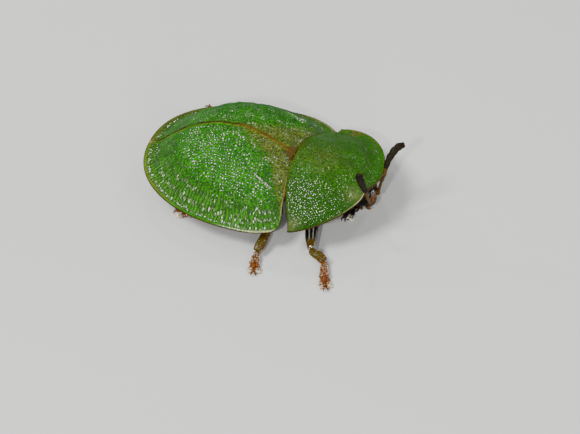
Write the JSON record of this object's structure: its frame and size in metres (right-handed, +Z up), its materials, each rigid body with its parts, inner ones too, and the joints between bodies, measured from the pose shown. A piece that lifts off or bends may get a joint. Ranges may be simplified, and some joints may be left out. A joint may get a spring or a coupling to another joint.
{
  "type": "tortoise beetle",
  "caption": "Life-size green tortoise beetle standing on six feet, its wing cases closed, its shield-shaped pronotum raised over the head and both feelers up.",
  "frame": {"origin": "on the floor under the middle of the model's box, at the level of the foot soles", "axes": "+X towards the head, +Y to the beetle's left, +Z up"},
  "size_m": [0.0078, 0.0068, 0.0025],
  "materials": {
    "wing_case": "leaf-green shell, satin, with rows of fine pits",
    "pronotum": "leaf-green shell, satin, finely pitted",
    "scutellum": "red-brown shell, satin",
    "underside": "black shell, satin",
    "head": "black-brown shell, satin",
    "eye": "black, glossy, finely faceted",
    "mouthparts": "brown, satin",
    "antenna": "light brown, satin, finely haired",
    "antenna_club": "dark brown, matt, finely haired",
    "femur": "black-brown shell with a brown tip, satin",
    "tibia": "olive brown shell, satin",
    "tarsus": "reddish brown, matt, haired",
    "claws": "dark brown horn, satin"
  },
  "bodies": {
    "root": {"abdomen": "underside", "antenna_left_club": "antenna_club", "antenna_left_scape": "antenna", "antenna_left_stem": "antenna", "antenna_right_club": "antenna_club", "antenna_right_scape": "antenna", "antenna_right_stem": "antenna", "elytron_left": "wing_case", "elytron_right": "wing_case", "eye_left": "eye", "eye_right": "eye", "fore_left_claws": "claws", "fore_left_coxa": "underside", "fore_left_femur": "femur", "fore_left_tarsus": "tarsus", "fore_left_tibia": "tibia", "fore_right_claws": "claws", "fore_right_coxa": "underside", "fore_right_femur": "femur", "fore_right_tarsus": "tarsus", "fore_right_tibia": "tibia", "front_thorax": "underside", "head": "head", "hind_left_claws": "claws", "hind_left_coxa": "underside", "hind_left_femur": "femur", "hind_left_tarsus": "tarsus", "hind_left_tibia": "tibia", "hind_right_claws": "claws", "hind_right_coxa": "underside", "hind_right_femur": "femur", "hind_right_tarsus": "tarsus", "hind_right_tibia": "tibia", "hind_thorax": "underside", "mid_left_claws": "claws", "mid_left_coxa": "underside", "mid_left_femur": "femur", "mid_left_tarsus": "tarsus", "mid_left_tibia": "tibia", "mid_right_claws": "claws", "mid_right_coxa": "underside", "mid_right_femur": "femur", "mid_right_tarsus": "tarsus", "mid_right_tibia": "tibia", "mouthparts": "mouthparts", "palp_left": "mouthparts", "palp_right": "mouthparts", "pronotum": "pronotum", "scutellum": "scutellum"}
  },
  "joints": []
}
